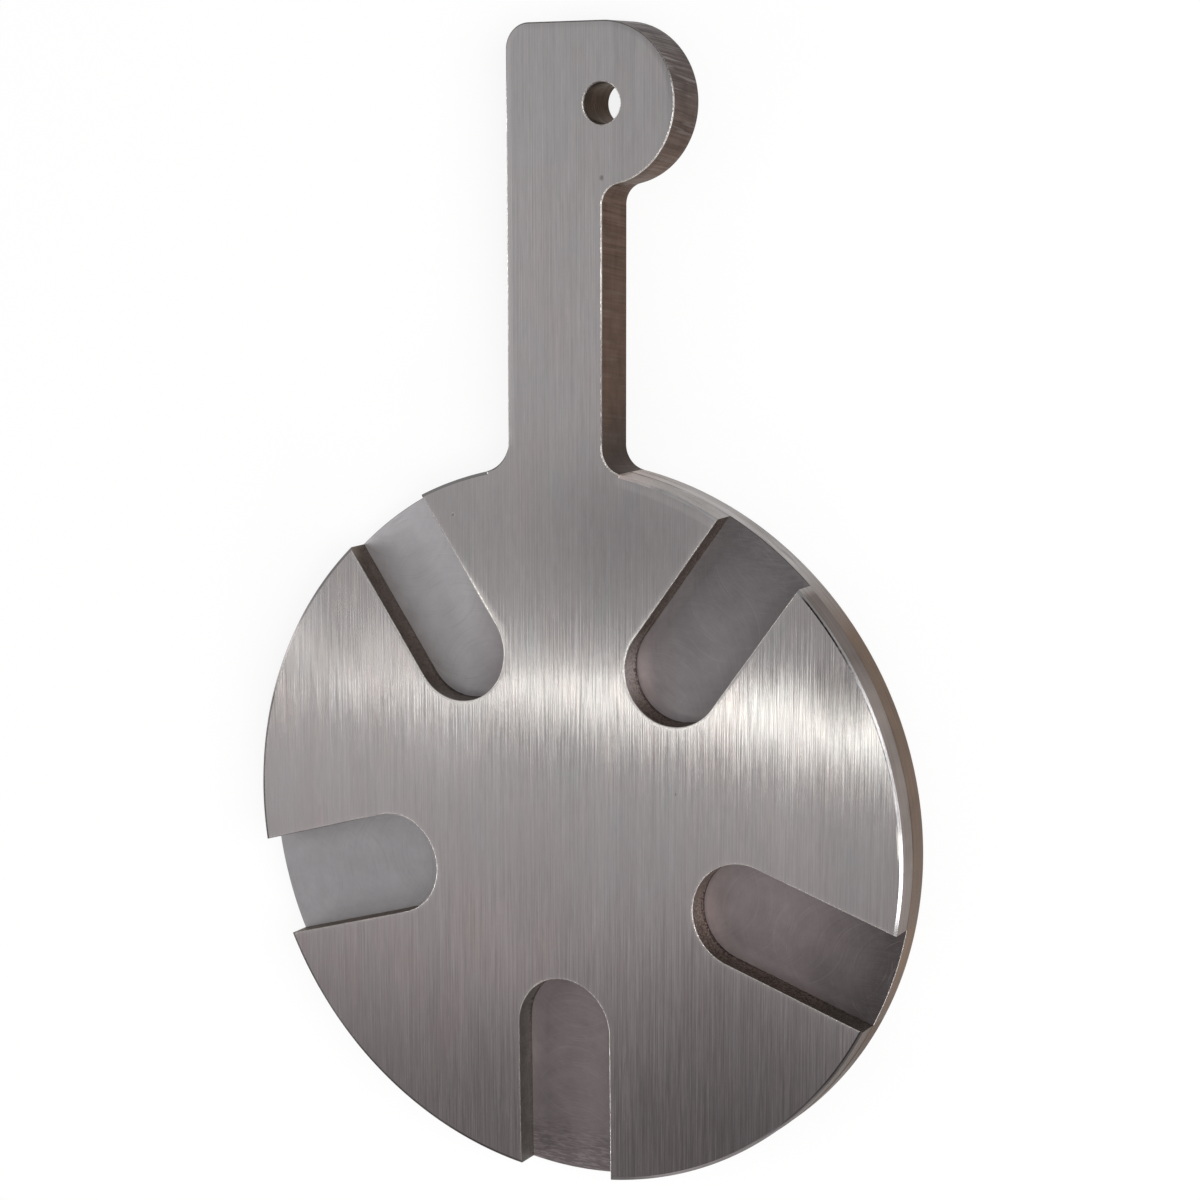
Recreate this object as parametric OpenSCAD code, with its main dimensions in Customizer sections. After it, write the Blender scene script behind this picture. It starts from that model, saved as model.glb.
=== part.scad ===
// Slip blind for a flanged pipe joint: one plate with a round disc, five purge slots and a hooked handle.
// Lengths are in millimetres and angles in degrees.
// The plate lies on its back face at z = 0, with the disc's centre at the origin.
// The slots open upward and the handle points along +Y.

/* [Disc] */
// Outside diameter of the disc
disc_dia = 177.8; // [150:0.1:280]
// Thickness of the whole plate
plate_t = 12.7; // [8:0.1:25]
// Chamfer round the disc's rim, on both faces
rim_chamfer = 0.5; // [0.1:0.1:2]

/* [Slots] */
// Number of slots, counted from the handle's left, with the handle midway between the first and the last
slot_count = 5; // [2:1:7]
// Turn of the first slot away from even spacing
slot_1_turn = -1.6; // [-3:0.1:3]
// Turn of the second slot
slot_2_turn = -1.3; // [-3:0.1:3]
// Turn of the third slot
slot_3_turn = 0.5; // [-3:0.1:3]
// Turn of the fourth slot
slot_4_turn = 0; // [-3:0.1:3]
// Turn of the fifth slot
slot_5_turn = -0.1; // [-3:0.1:3]
// Width across a slot, which is also the diameter of its round inner end
slot_w = 25.4; // [10:0.1:32]
// Depth of a slot below the front face
slot_depth = 6.35; // [2:0.05:10]
// Distance from the disc's centre to the centre of a slot's round inner end
slot_reach = 50.8; // [42:0.1:70]

/* [Handle] */
// Width of the straight shank
shank_w = 25.4; // [14:0.1:40]
// Distance that the shank's middle line lies to the left of the disc's centre
shank_shift = 1.6; // [0:0.1:10]
// Fillet where the shank's left side runs into the disc
left_fillet_r = 8; // [2:0.1:15]
// Fillet where the shank's right side runs into the disc
right_fillet_r = 6; // [2:0.1:15]
// Distance from the disc's centre to the centre of the lifting eye
eye_y = 173; // [150:0.1:260]
// Diameter of the lifting eye
eye_dia = 9.5; // [5:0.1:20]
// Radius of the head's round side, drawn about the eye
head_r = 18.7; // [14:0.1:35]
// Fillet where the head's round side runs into the shank
neck_fillet_r = 5; // [1:0.1:12]
// Radius of the head's outer corner
head_corner_r = 6; // [1:0.1:12]

/* [Hidden] */
$fn = 96;

// Steel grey
steel = [0.62, 0.61, 0.60];

// Overshoot that takes each cut clear of the faces it leaves through
clear = 1;
// Depth to which a fillet's filler runs into the shank, the disc and the head
bite = 4;

disc_r = disc_dia / 2;
eye_r = eye_dia / 2;
slot_pitch = 360 / slot_count;
slot_turns = [slot_1_turn, slot_2_turn, slot_3_turn, slot_4_turn, slot_5_turn];
slot_floor_z = plate_t - slot_depth;

// The shank's two sides, the eye on the line of its right side, and the head's straight top
shank_left = -shank_shift - shank_w / 2;
shank_right = -shank_shift + shank_w / 2;
eye = [shank_right, eye_y];
head_top = eye_y + head_r;

// Centre of a root fillet of radius r, which touches the disc's rim and a side of the shank at side_x
function root_centre(side_x, r) = [side_x + r, sqrt(pow(disc_r + r, 2) - pow(side_x + r, 2))];

// Centre of the neck's fillet, which touches the shank's right side and the head's round side
neck_centre = eye + [neck_fillet_r, -sqrt(pow(head_r + neck_fillet_r, 2) - pow(neck_fillet_r, 2))];

// Direction of one slot, counted from +X, with the handle at 90 degrees
function slot_angle(i) = 90 + slot_pitch * (i + 0.5) + (i < len(slot_turns) ? slot_turns[i] : 0);

// Filler between a shank side at side_x and a round piece about middle, hollowed to the radius r about centre
module fillet(side_x, centre, r, middle, middle_r) {
    inner = middle + (centre - middle) * (middle_r - bite) / norm(centre - middle);
    difference() {
        polygon([[side_x - bite, centre.y], centre, inner, [side_x - bite, inner.y]]);
        translate(centre)
            circle(r = r);
    }
}

// Fillet of radius r between the disc and the right side of a shank that reaches to side_x
module root_fillet(side_x, r) {
    fillet(side_x, root_centre(side_x, r), r, [0, 0], disc_r);
}

// Fillet between the shank's right side and the head's round side
module neck_fillet() {
    fillet(shank_right, neck_centre, neck_fillet_r, eye, head_r);
}

// Straight shank from the disc's centre up to the level of the eye
module shank() {
    translate([shank_left, 0])
        square([shank_w, eye_y]);
}

// Head: straight on the left and along the top, round on the right, with a rounded outer corner
module head() {
    corner = [shank_left + head_corner_r, head_top - head_corner_r];
    translate(eye)
        circle(r = head_r);
    translate(corner)
        circle(r = head_corner_r);
    translate([shank_left, eye_y])
        square([shank_w, corner.y - eye_y]);
    translate([corner.x, eye_y])
        square([eye.x - corner.x, head_r]);
}

// Handle cut from the same plate as the disc, at full thickness
module handle() {
    linear_extrude(plate_t) {
        shank();
        head();
        neck_fillet();
        root_fillet(shank_right, right_fillet_r);
        mirror([1, 0])
            root_fillet(-shank_left, left_fillet_r);
    }
}

// Disc turned to its diameter, with a chamfer round both faces
module disc() {
    rotate_extrude()
        polygon([
            [0, 0],
            [disc_r - rim_chamfer, 0],
            [disc_r, rim_chamfer],
            [disc_r, plate_t - rim_chamfer],
            [disc_r - rim_chamfer, plate_t],
            [0, plate_t]
        ]);
}

// Cutter for one slot along +X: a round inner end, parallel walls and an open mouth at the rim
module slot() {
    translate([slot_reach, 0])
        cylinder(h = slot_depth + clear, d = slot_w);
    translate([slot_reach, -slot_w / 2])
        cube([disc_r + clear - slot_reach, slot_w, slot_depth + clear]);
}

// Cutter for the lifting eye
module lifting_eye() {
    translate([eye.x, eye.y, -clear])
        cylinder(h = plate_t + 2 * clear, r = eye_r);
}

module blind_plate() {
    color(steel)
        difference() {
            union() {
                disc();
                handle();
            }
            for (i = [0 : slot_count - 1])
                translate([0, 0, slot_floor_z])
                    rotate(slot_angle(i))
                        slot();
            lifting_eye();
        }
}

blind_plate();
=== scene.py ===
import math

import bpy
from mathutils import Matrix, Vector


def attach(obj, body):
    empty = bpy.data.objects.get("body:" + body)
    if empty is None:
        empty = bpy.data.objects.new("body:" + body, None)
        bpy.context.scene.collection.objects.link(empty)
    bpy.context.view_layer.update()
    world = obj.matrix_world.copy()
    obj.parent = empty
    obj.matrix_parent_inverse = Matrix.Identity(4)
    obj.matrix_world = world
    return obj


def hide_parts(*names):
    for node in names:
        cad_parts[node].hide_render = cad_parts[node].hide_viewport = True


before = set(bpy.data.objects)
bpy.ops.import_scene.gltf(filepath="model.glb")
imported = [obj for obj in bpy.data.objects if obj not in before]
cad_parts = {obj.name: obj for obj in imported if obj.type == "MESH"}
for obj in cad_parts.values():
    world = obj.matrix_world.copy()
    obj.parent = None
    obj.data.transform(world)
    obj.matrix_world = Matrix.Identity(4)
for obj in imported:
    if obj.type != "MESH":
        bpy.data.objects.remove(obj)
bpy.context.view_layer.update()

# Slip blind: one steel plate, lying on its back face, with its disc's centre at the origin.
# All lengths are in metres. The sizes repeat those of the plate's solid.

MM = 0.001

# Disc
DISC_R = 88.885 * MM
PLATE_T = 12.7 * MM
FRONT_CHAMFER_IN = 0.75 * MM
FRONT_CHAMFER_DOWN = 0.35 * MM
BACK_CHAMFER = 0.5 * MM
RIM_LEDGE = 0.09 * MM

# Height of the bright ridge along the scoured part of the rim
RIM_RIDGE_Z = 4.8 * MM

# Slots, by the direction in which each one runs out to the rim
SLOT_W = 25.4 * MM
SLOT_DEPTH = 6.35 * MM
SLOT_REACH = 50.8 * MM
SLOT_DIRECTIONS = (124.4, 196.7, 270.5, 342.0, 53.9)
SLOT_FLOOR_Z = PLATE_T - SLOT_DEPTH

# Handle
SHANK_LEFT = -14.3 * MM
SHANK_RIGHT = 11.1 * MM
LEFT_FILLET_R = 8.0 * MM
RIGHT_FILLET_R = 6.0 * MM
EYE = Vector((SHANK_RIGHT, 173.0 * MM))
EYE_R = 4.75 * MM
HEAD_R = 18.695 * MM
HEAD_TOP = EYE.y + HEAD_R
NECK_FILLET_R = 5.0 * MM
CORNER_R = 6.0 * MM
BITE = 4.0 * MM

# Straight pieces in which each round stretch is drawn
RIM_STEPS = 512
SLOT_END_STEPS = 48
ROOT_STEPS = 24
CORNER_STEPS = 20
HEAD_STEPS = 120
EYE_STEPS = 96

# Broken edges
HANDLE_EDGE = 0.3 * MM
SLOT_EDGE = 0.14 * MM
EYE_EDGE = 0.35 * MM
MOUTH_EDGE = 0.12 * MM

# How near counts as touching, how near a slot's wall its upper edge lies, and how deep the rim's finish goes
TOUCH = 0.01 * MM
BY_WALL = 0.05 * MM
RIM_SKIN = 0.15 * MM

# Least turn of an edge that is broken, and most turn that is shaded smooth, in degrees
SHARP_TURN = 25
SMOOTH_TURN = 20

# How far the ribs of the handle's cut edge lag along it, for each length down through the plate
RIB_LAG = 0.14

# Colours of the plate: for most finishes the dark end and the light end of their tone
FACE_DARK = (0.335, 0.324, 0.328)
FACE_LIGHT = (0.530, 0.514, 0.519)
BURR_LIGHT = (0.56, 0.55, 0.545)
PIT_DARK = (0.16, 0.14, 0.12)
# Painted glint on the burr flecks
FLECK_GLINT = (0.96, 0.93, 0.88)
FLOOR_DARK = (0.205, 0.176, 0.182)
FLOOR_LIGHT = (0.325, 0.282, 0.290)
# Floors of the left slots: lighter, partly painted light
LEFT_FLOOR_DARK = (0.43, 0.42, 0.436)
LEFT_FLOOR_LIGHT = (0.60, 0.59, 0.61)
WALL_DARK = (0.036, 0.026, 0.021)
WALL_LIGHT = (0.30, 0.25, 0.215)
# Painted shadow at the foot of the walls
WALL_FOOT_SHADOW = (0.022, 0.017, 0.015)
RIM_BACK_DARK = (0.072, 0.047, 0.032)
RIM_BACK_LIGHT = (0.22, 0.157, 0.118)
RIM_SCOURED_DARK = (0.16, 0.153, 0.152)
RIM_SCOURED_LIGHT = (0.46, 0.448, 0.445)
RIM_FRONT_DARK = (0.10, 0.083, 0.076)
RIM_FRONT_LIGHT = (0.33, 0.29, 0.27)
# Near-black: painted shade on the rim and its chamfer, and dark marks on the cut and broken edges
NEAR_BLACK = (0.03, 0.025, 0.022)
CUT_BROWN_DARK = (0.036, 0.021, 0.014)
CUT_BROWN_LIGHT = (0.150, 0.092, 0.066)
CUT_GREY_DARK = (0.024, 0.020, 0.021)
CUT_GREY_LIGHT = (0.135, 0.120, 0.122)
CUT_CREST = (0.34, 0.31, 0.30)
EDGE_DARK = (0.32, 0.29, 0.27)
EDGE_LIGHT = (0.86, 0.84, 0.81)
BORE_DARK = (0.009, 0.005, 0.003)
BORE_LIGHT = (0.050, 0.030, 0.018)

# Tints that a finish's colour is multiplied by, in places
FACE_WARM = (1.025, 0.972, 0.966)
FACE_COOL = (0.975, 0.995, 1.005)
# Painted shade on the face
SHADE_TINT = (0.78, 0.78, 0.78)
FLOOR_GREYER = (0.95, 1.03, 1.03)
# Painted light on the slot floors beside the walls
PAINTED_LIGHT_BY_WALLS = (2.0, 2.0, 2.0)
WALL_GREYER = (0.84, 0.97, 1.05)
# Painted highlights on the rim's chamfer
LIFTED_TINT = (1.6, 1.6, 1.6)
HIGHLIGHT_TINT = (1.8, 1.8, 1.8)
BARED_TINT = (1.15, 1.03, 0.97)

# Tints of each finish's mirror image at a grazing angle, where it isn't plain
WHITE = (1.0, 1.0, 1.0)
WALL_TINT = (0.88, 0.84, 0.82)
RIM_TINT = (0.84, 0.80, 0.78)
# Darker tints at a slot's mouth and low on the right of the rim: painted shade
MOUTH_RIM_TINT = (0.68, 0.64, 0.62)
SHADED_RIM_TINT = (0.53, 0.49, 0.465)
CUT_TINT = (0.93, 0.89, 0.87)
BORE_TINT = (0.86, 0.80, 0.76)

# Least roughness of the two brighter finishes
FACE_ROUGHNESS = 0.068
FLOOR_ROUGHNESS = 0.46

# White board under the plate
BOARD_WHITE = (0.94, 0.94, 0.94)
BOARD_ROUGHNESS = 0.9
BOARD_GLOW = 0.86
BOARD_SIZE = 8.0

# Places of pits and of soft patches: their centre in millimetres, their reach and, for most, their share
PITS = ((11.3, 156.1, 0.85), (25.3, 85.1, 0.45), (-30.0, 75.3, 0.6), (31.0, 12.0, 0.3))
# Patches of painted shade on the face, where it mirrors a darker part of the room
SHADE_PATCHES = ((50, -66, 62), (74, 41, 13))
# Darker and paler patches on the face: partly tone that differs at random, partly painted shade and painted
# highlight on its mirror image of the strip lamp
DARK_PATCHES = ((16, 73, 32, 0.36), (46, -38, 26, 0.20), (-64, 43, 13, 0.40), (73, 39, 11, 0.8),
                (0, 23, 18, 0.14))
PALE_PATCHES = ((-52, -42, 48, 0.22), (58, 8, 40, 0.14), (-15, -38, 25, 0.25), (-62, 31, 10, 0.22),
                (-34, 21, 20, 0.25))
# Places where burrs on the face and the broken edges carry a painted glint
BURR_GLINTS = ((-6, -40, 4.5, 1.0), (17.3, 39, 7, 0.9), (-22.3, 55, 9, 0.9), (36, -18, 8, 0.8),
                (-36, -15, 9, 0.5))
# Pale patches on the slot walls: painted light where they face the lamps, the second set mottled
WALL_PALE_PATCHES = ((17.5, 39, 13, 0.75), (36, -12, 10, 0.36), (-32, 31, 9, 0.40), (-59.6, 64.6, 4, 0.6))
WALL_LIT_MOTTLE = ((17.8, 41, 12, 0.70), (-31, 30, 8, 0.25), (34, -15, 8, 0.20))
FLOOR_SMEARS = ((60, -26, 12.3, 0.35), (74, -28, 11.3, 0.5), (78, -19, 11.3, 0.35), (79, -30, 11.3, 0.4))

# Stretches of the rim that have a finish of their own, a darker mirror tint that paints shade, in degrees
# from the plate's right
MOUTH_RIM = (-26.2, -9.6)
SHADED_RIM = (-84.0, -26.2)

# Where those two finishes grow brighter as their painted shade fades, from and to, and how many times at most
MOUTH_RIM_LIFT = (-26.2, -9.6, 1.45)
SHADED_RIM_LIFT = (-36.0, -26.2, 1.38)

# From a place on a slot's floor to the part of the wall that it mirrors, seen from above
FLOOR_LOOK = (-2.1 * MM, -1.06 * MM, 0)

# Brightness of the room, by how far its light leans towards the handle, in degrees from overhead:
# its two ends first, then the stops between them
ROOM_LEVELS = ((-90, 0.20), (90, 0.30), (-72, 0.22), (-62, 0.40), (-58, 0.85), (-53, 0.75), (-49, 0.25),
               (-38, 0.20), (-23, 0.25), (-21, 0.33), (-19.5, 0.45), (-18, 0.58), (-16, 0.65),
               (-14, 0.70), (-9, 0.55), (-6.5, 0.67), (-4, 0.70), (12, 0.78), (20, 0.92), (31, 0.98),
               (42, 0.90), (60, 0.65), (72, 0.35))
LOW_ROOM_END = -17
LOW_TINT = (1.0, 0.93, 0.925)
STRIP_TINT = (0.98, 1.0, 0.91)
ROOM_TINT = (1.0, 0.985, 0.98)
ROOM_SIDE_FADE = (-0.8, -0.3, 1.20, 0.76)

# Camera at the place from which the photograph was taken, with its lens in millimetres
CAMERA_PLACE = Vector((0.32337, 0.16438, 0.59304))
CAMERA_AIM = Vector((-0.02461, 0.03208, 0.0127))
CAMERA_UP = Vector((-0.09045, 0.98137, -0.1695))
CAMERA_LENS = 84.10
CAMERA_SHIFT = (0.10528, 0.07558)

# Names of the finishes
SURFACES = ("brushed face", "milled floor", "slot wall", "turned rim", "mouth rim", "shaded rim", "cut edge",
            "broken edge", "eye bore")


# Making the plate

def clear_selection():
    """Leave nothing selected, so that the next tool acts on its own piece alone."""
    if bpy.context.object and bpy.context.object.mode != "OBJECT":
        bpy.ops.object.mode_set(mode="OBJECT")
    bpy.ops.object.select_all(action="DESELECT")


def pick(piece):
    """Make one piece the only selected and active object."""
    clear_selection()
    piece.select_set(True)
    bpy.context.view_layer.objects.active = piece


def start_outline(name, x, y):
    """A single vertex in edit mode, from which an outline is drawn at z = 0."""
    clear_selection()
    bpy.ops.mesh.primitive_plane_add(size=MM)
    piece = bpy.context.object
    piece.name = name
    bpy.ops.object.mode_set(mode="EDIT")
    bpy.ops.mesh.merge(type="CENTER")
    bpy.ops.transform.translate(value=(x, y, 0))
    return piece


def line_by(dx, dy):
    """Carry the outline on by a straight line."""
    bpy.ops.mesh.extrude_region_move(TRANSFORM_OT_translate={"value": (dx, dy, 0)})


def arc_about(x, y, degrees, steps):
    """Carry the outline on by an arc about a centre, counter-clockwise where degrees is above zero."""
    bpy.ops.mesh.spin(steps=steps, angle=math.radians(-degrees), center=(x, y, 0), axis=(0, 0, 1))


def close_and_raise(piece, height):
    """Close the outline, fill it, raise it to its height, and lay the surface's map along its walls."""
    bpy.ops.mesh.select_all(action="SELECT")
    bpy.ops.mesh.remove_doubles(threshold=0.001 * MM)
    bpy.ops.mesh.edge_face_add()
    bpy.ops.object.mode_set(mode="OBJECT")
    run = outline_run(piece.data)
    bpy.ops.object.mode_set(mode="EDIT")
    bpy.ops.mesh.extrude_region_move(TRANSFORM_OT_translate={"value": (0, 0, height)})
    bpy.ops.mesh.select_all(action="SELECT")
    bpy.ops.mesh.normals_make_consistent(inside=False)
    bpy.ops.object.mode_set(mode="OBJECT")
    lay_map(piece.data, lambda place: run[key_of(place)])


def key_of(place):
    """A vertex's place seen from above, in hundredths of a micrometre, as a key."""
    return round(place.x * 1e8), round(place.y * 1e8)


def outline_run(mesh):
    """The length along a flat outline at each of its vertices."""
    run = {}
    length = 0.0
    before = None
    for vertex in mesh.polygons[0].vertices:
        place = mesh.vertices[vertex].co
        if before is not None:
            length += (place - before).length
        run[key_of(place)] = length
        before = place
    return run


def lay_map(mesh, along):
    """The map that patterns follow: flat faces by x and y, walls by the length along them and the height."""
    grain = mesh.uv_layers.new(name="grain") if not mesh.uv_layers else mesh.uv_layers[0]
    grain.name = "grain"
    for face in mesh.polygons:
        flat = abs(face.normal.z) > 0.95
        for corner in face.loop_indices:
            place = mesh.vertices[mesh.loops[corner].vertex_index].co
            grain.data[corner].uv = (place.x, place.y) if flat else (along(place), place.z)


def turned_disc():
    """Disc as it comes off the lathe: chamfered front and back, with a fine ledge round the rim's middle."""
    clear_selection()
    radius, z = DISC_R - BACK_CHAMFER, 0.0
    bpy.ops.mesh.primitive_circle_add(vertices=RIM_STEPS, radius=radius, fill_type="NGON")
    disc = bpy.context.object
    disc.name = "disc"
    bpy.ops.object.mode_set(mode="EDIT")
    for next_radius, next_z in (
        (DISC_R, BACK_CHAMFER),
        (DISC_R, SLOT_FLOOR_Z),
        (DISC_R - RIM_LEDGE, SLOT_FLOOR_Z + 2 * RIM_LEDGE),
        (DISC_R - RIM_LEDGE, PLATE_T - FRONT_CHAMFER_DOWN),
        (DISC_R - RIM_LEDGE - FRONT_CHAMFER_IN, PLATE_T),
    ):
        bpy.ops.mesh.extrude_region_move(TRANSFORM_OT_translate={"value": (0, 0, next_z - z)})
        ratio = next_radius / radius
        bpy.ops.transform.resize(value=(ratio, ratio, 1), center_override=(0, 0, next_z))
        radius, z = next_radius, next_z
    bpy.ops.mesh.select_all(action="SELECT")
    bpy.ops.mesh.normals_make_consistent(inside=False)
    bpy.ops.object.mode_set(mode="OBJECT")
    lay_map(disc.data, lambda place: math.atan2(place.y, -place.x) * DISC_R)
    return disc


def root_centre(side_x, radius):
    """Centre of a fillet that touches the disc and, right of its centre, a shank side at side_x."""
    x = side_x + radius
    return Vector((x, math.sqrt((DISC_R + radius) ** 2 - x * x)))


def flame_cut_handle():
    """Handle drawn as one outline, from inside the disc up the left side, round the head and down again."""
    left = root_centre(-SHANK_LEFT, LEFT_FILLET_R)
    left.x = -left.x
    right = root_centre(SHANK_RIGHT, RIGHT_FILLET_R)
    neck = Vector((SHANK_RIGHT + NECK_FILLET_R,
                   EYE.y - math.sqrt((HEAD_R + NECK_FILLET_R) ** 2 - NECK_FILLET_R ** 2)))
    left_turn = math.degrees(math.atan2(left.y, -left.x))
    right_turn = math.degrees(math.atan2(right.y, right.x))
    neck_turn = math.degrees(math.atan2(EYE.y - neck.y, NECK_FILLET_R))
    start = left * ((DISC_R - BITE) / left.length)
    handle = start_outline("handle", start.x, start.y)
    line_by(*(left * (BITE / left.length)))
    arc_about(left.x, left.y, left_turn, ROOT_STEPS)
    line_by(0, HEAD_TOP - CORNER_R - left.y)
    arc_about(SHANK_LEFT + CORNER_R, HEAD_TOP - CORNER_R, -90, CORNER_STEPS)
    line_by(EYE.x - SHANK_LEFT - CORNER_R, 0)
    arc_about(EYE.x, EYE.y, -90 - neck_turn, HEAD_STEPS)
    arc_about(neck.x, neck.y, neck_turn, CORNER_STEPS)
    line_by(0, right.y - neck.y)
    arc_about(right.x, right.y, right_turn, ROOT_STEPS)
    line_by(*(right * (-BITE / right.length)))
    close_and_raise(handle, PLATE_T)
    return handle


def slot_cutter(direction):
    """Milling cutter's whole sweep for one slot, from the rim in to its round inner end."""
    past_rim = DISC_R + BITE - SLOT_REACH
    cutter = start_outline("slot_sweep", SLOT_REACH + past_rim, -SLOT_W / 2)
    line_by(-past_rim, 0)
    arc_about(SLOT_REACH, 0, -180, SLOT_END_STEPS)
    line_by(past_rim, 0)
    close_and_raise(cutter, SLOT_DEPTH + BITE)
    turn = Matrix.Rotation(math.radians(direction), 4, "Z")
    cutter.matrix_world = turn @ Matrix.Translation((0, 0, SLOT_FLOOR_Z))
    pick(cutter)
    bpy.ops.object.transform_apply(location=True, rotation=True, scale=True)
    return cutter


def eye_cutter():
    """Drill for the lifting eye."""
    clear_selection()
    bpy.ops.mesh.primitive_cylinder_add(vertices=EYE_STEPS, radius=EYE_R, depth=3 * PLATE_T,
                                        location=(EYE.x, EYE.y, PLATE_T / 2))
    cutter = bpy.context.object
    bpy.ops.object.transform_apply(location=True)
    lay_map(cutter.data, lambda place: math.atan2(place.y - EYE.y, place.x - EYE.x) * EYE_R)
    return cutter


def combine(piece, other, operation):
    """Join or cut a piece with another, which is then gone."""
    pick(piece)
    step = piece.modifiers.new("step", "BOOLEAN")
    step.operation = operation
    step.solver = "EXACT"
    step.object = other
    bpy.ops.object.modifier_apply(modifier=step.name)
    bpy.data.objects.remove(other, do_unlink=True)


def select_edges(piece, wanted):
    """Select the edges whose two ends and two faces meet a test, and go into edit mode."""
    pick(piece)
    bpy.ops.object.mode_set(mode="EDIT")
    bpy.ops.mesh.select_mode(type="EDGE")
    bpy.ops.mesh.select_all(action="DESELECT")
    bpy.ops.object.mode_set(mode="OBJECT")
    mesh = piece.data
    normals = {}
    for face in mesh.polygons:
        for key in face.edge_keys:
            normals.setdefault(key, []).append(face.normal.copy())
    for edge in mesh.edges:
        sides = normals.get(edge.key, [])
        if len(sides) != 2 or sides[0].angle(sides[1], 0) < math.radians(SHARP_TURN):
            continue
        if wanted(mesh.vertices[edge.vertices[0]].co, mesh.vertices[edge.vertices[1]].co):
            edge.select = True
    bpy.ops.object.mode_set(mode="EDIT")


def at_height(a, b, z):
    """Whether both ends of an edge lie at a height."""
    return abs(a.z - z) < TOUCH and abs(b.z - z) < TOUCH


def near_eye(place):
    """Whether a place lies in the lifting eye or within a millimetre of it, seen from above."""
    return (place.xy - EYE).length < EYE_R + 1.0 * MM


def inside_disc(place):
    """Whether a place lies well inside the disc's rim, seen from above."""
    return place.xy.length < DISC_R - 0.2 * MM


def break_edges(plate):
    """Small flats on the handle's cut edges, on the slots' upper edges and round the eye."""
    def on_face(a, b):
        return at_height(a, b, PLATE_T) or at_height(a, b, 0)

    def eye_edge(a, b):
        return near_eye(a) and near_eye(b) and on_face(a, b)

    def handle_edge(a, b):
        outside = not (inside_disc(a) and inside_disc(b))
        return on_face(a, b) and outside and not near_eye(a) and max(a.y, b.y) > 0.9 * DISC_R

    def slot_edge(a, b):
        return at_height(a, b, PLATE_T) and slot_distance(a) < BY_WALL and slot_distance(b) < BY_WALL

    def mouth_edge(a, b):
        return at_height(a, b, SLOT_FLOOR_Z) and in_mouth(a) and in_mouth(b)

    for wanted, width, segments in (
        (eye_edge, EYE_EDGE, 2),
        (handle_edge, HANDLE_EDGE, 2),
        (slot_edge, SLOT_EDGE, 2),
        (mouth_edge, MOUTH_EDGE, 1),
    ):
        select_edges(plate, wanted)
        bpy.ops.mesh.bevel(offset_type="OFFSET", offset=width, segments=segments, profile=0.5,
                           affect="EDGES", clamp_overlap=False, material=-1)
        bpy.ops.object.mode_set(mode="OBJECT")


def in_mouth(place):
    """Whether a place lies on the disc's rim at the mouth of a slot."""
    return place.xy.length > DISC_R - TOUCH and in_slot(place)


def in_each_slot(place):
    """A place in each slot's own measures, seen from above: how far along it and how far across it."""
    for direction in SLOT_DIRECTIONS:
        turn = math.radians(direction)
        along = place.x * math.cos(turn) + place.y * math.sin(turn)
        across = -place.x * math.sin(turn) + place.y * math.cos(turn)
        yield along, across


def in_slot(place):
    """Whether a place lies between the walls of a slot, seen from above."""
    return any(along > SLOT_REACH and abs(across) < SLOT_W / 2 + TOUCH
               for along, across in in_each_slot(place))


def slot_distance(place):
    """How far a place lies from the nearest slot's wall, seen from above."""
    return min(abs(math.hypot(min(along - SLOT_REACH, 0.0), across) - SLOT_W / 2)
               for along, across in in_each_slot(place))


def surface_of(normal, centre):
    """Which finish a face has, by where it lies and which way it looks."""
    if (centre.xy - EYE).length < EYE_R + TOUCH and abs(normal.z) < 0.1:
        return "eye bore"
    if normal.z > 0.999:
        return "brushed face" if centre.z > PLATE_T - BY_WALL else "milled floor"
    if normal.z < -0.999:
        return "brushed face"
    far = centre.xy.length
    if abs(normal.z) > 0.05:
        on_rim = DISC_R - 1.0 * MM < far < DISC_R + TOUCH
        mouth = abs(centre.z - SLOT_FLOOR_Z) < MOUTH_EDGE and in_slot(centre)
        return rim_at(centre) if on_rim and not mouth and slot_distance(centre) > RIM_SKIN else "broken edge"
    if far < DISC_R - RIM_SKIN:
        return "slot wall"
    return rim_at(centre) if far < DISC_R + TOUCH else "cut edge"


def rim_at(place):
    """Which of the rim's three finishes a place has; two of them carry painted shade."""
    turn = math.degrees(math.atan2(place.y, place.x))
    for name, (low, high) in (("mouth rim", MOUTH_RIM), ("shaded rim", SHADED_RIM)):
        if low < turn < high:
            return name
    return "turned rim"


def blind_plate():
    """The plate: disc and handle joined, slots and eye cut away, and the sharp edges broken."""
    plate = turned_disc()
    combine(plate, flame_cut_handle(), "UNION")
    for direction in SLOT_DIRECTIONS:
        combine(plate, slot_cutter(direction), "DIFFERENCE")
    combine(plate, eye_cutter(), "DIFFERENCE")
    pick(plate)
    bpy.ops.object.mode_set(mode="EDIT")
    bpy.ops.mesh.select_all(action="SELECT")
    bpy.ops.mesh.remove_doubles(threshold=0.002 * MM)
    bpy.ops.mesh.dissolve_limited(angle_limit=math.radians(0.05), delimit={"NORMAL"})
    bpy.ops.object.mode_set(mode="OBJECT")
    break_edges(plate)
    plate.name = "plate"
    plate.data.name = "plate"
    return plate


def finish_plate(plate, materials):
    """Give each face its finish, and shade the curved walls smooth."""
    plate.data.materials.clear()
    for name in SURFACES:
        plate.data.materials.append(materials[name])
    for face in plate.data.polygons:
        face.material_index = SURFACES.index(surface_of(face.normal, face.center))
    pick(plate)
    bpy.ops.object.shade_smooth_by_angle(angle=math.radians(SMOOTH_TURN))


# Finishes

def node(tree, kind, feeds=None, **settings):
    """A node of one kind, with its settings, and a value or another node's output at each named input."""
    made = tree.nodes.new(kind)
    for name, value in settings.items():
        setattr(made, name, value)
    for name, value in (feeds or {}).items():
        feed(tree, made, name, value)
    return made


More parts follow.
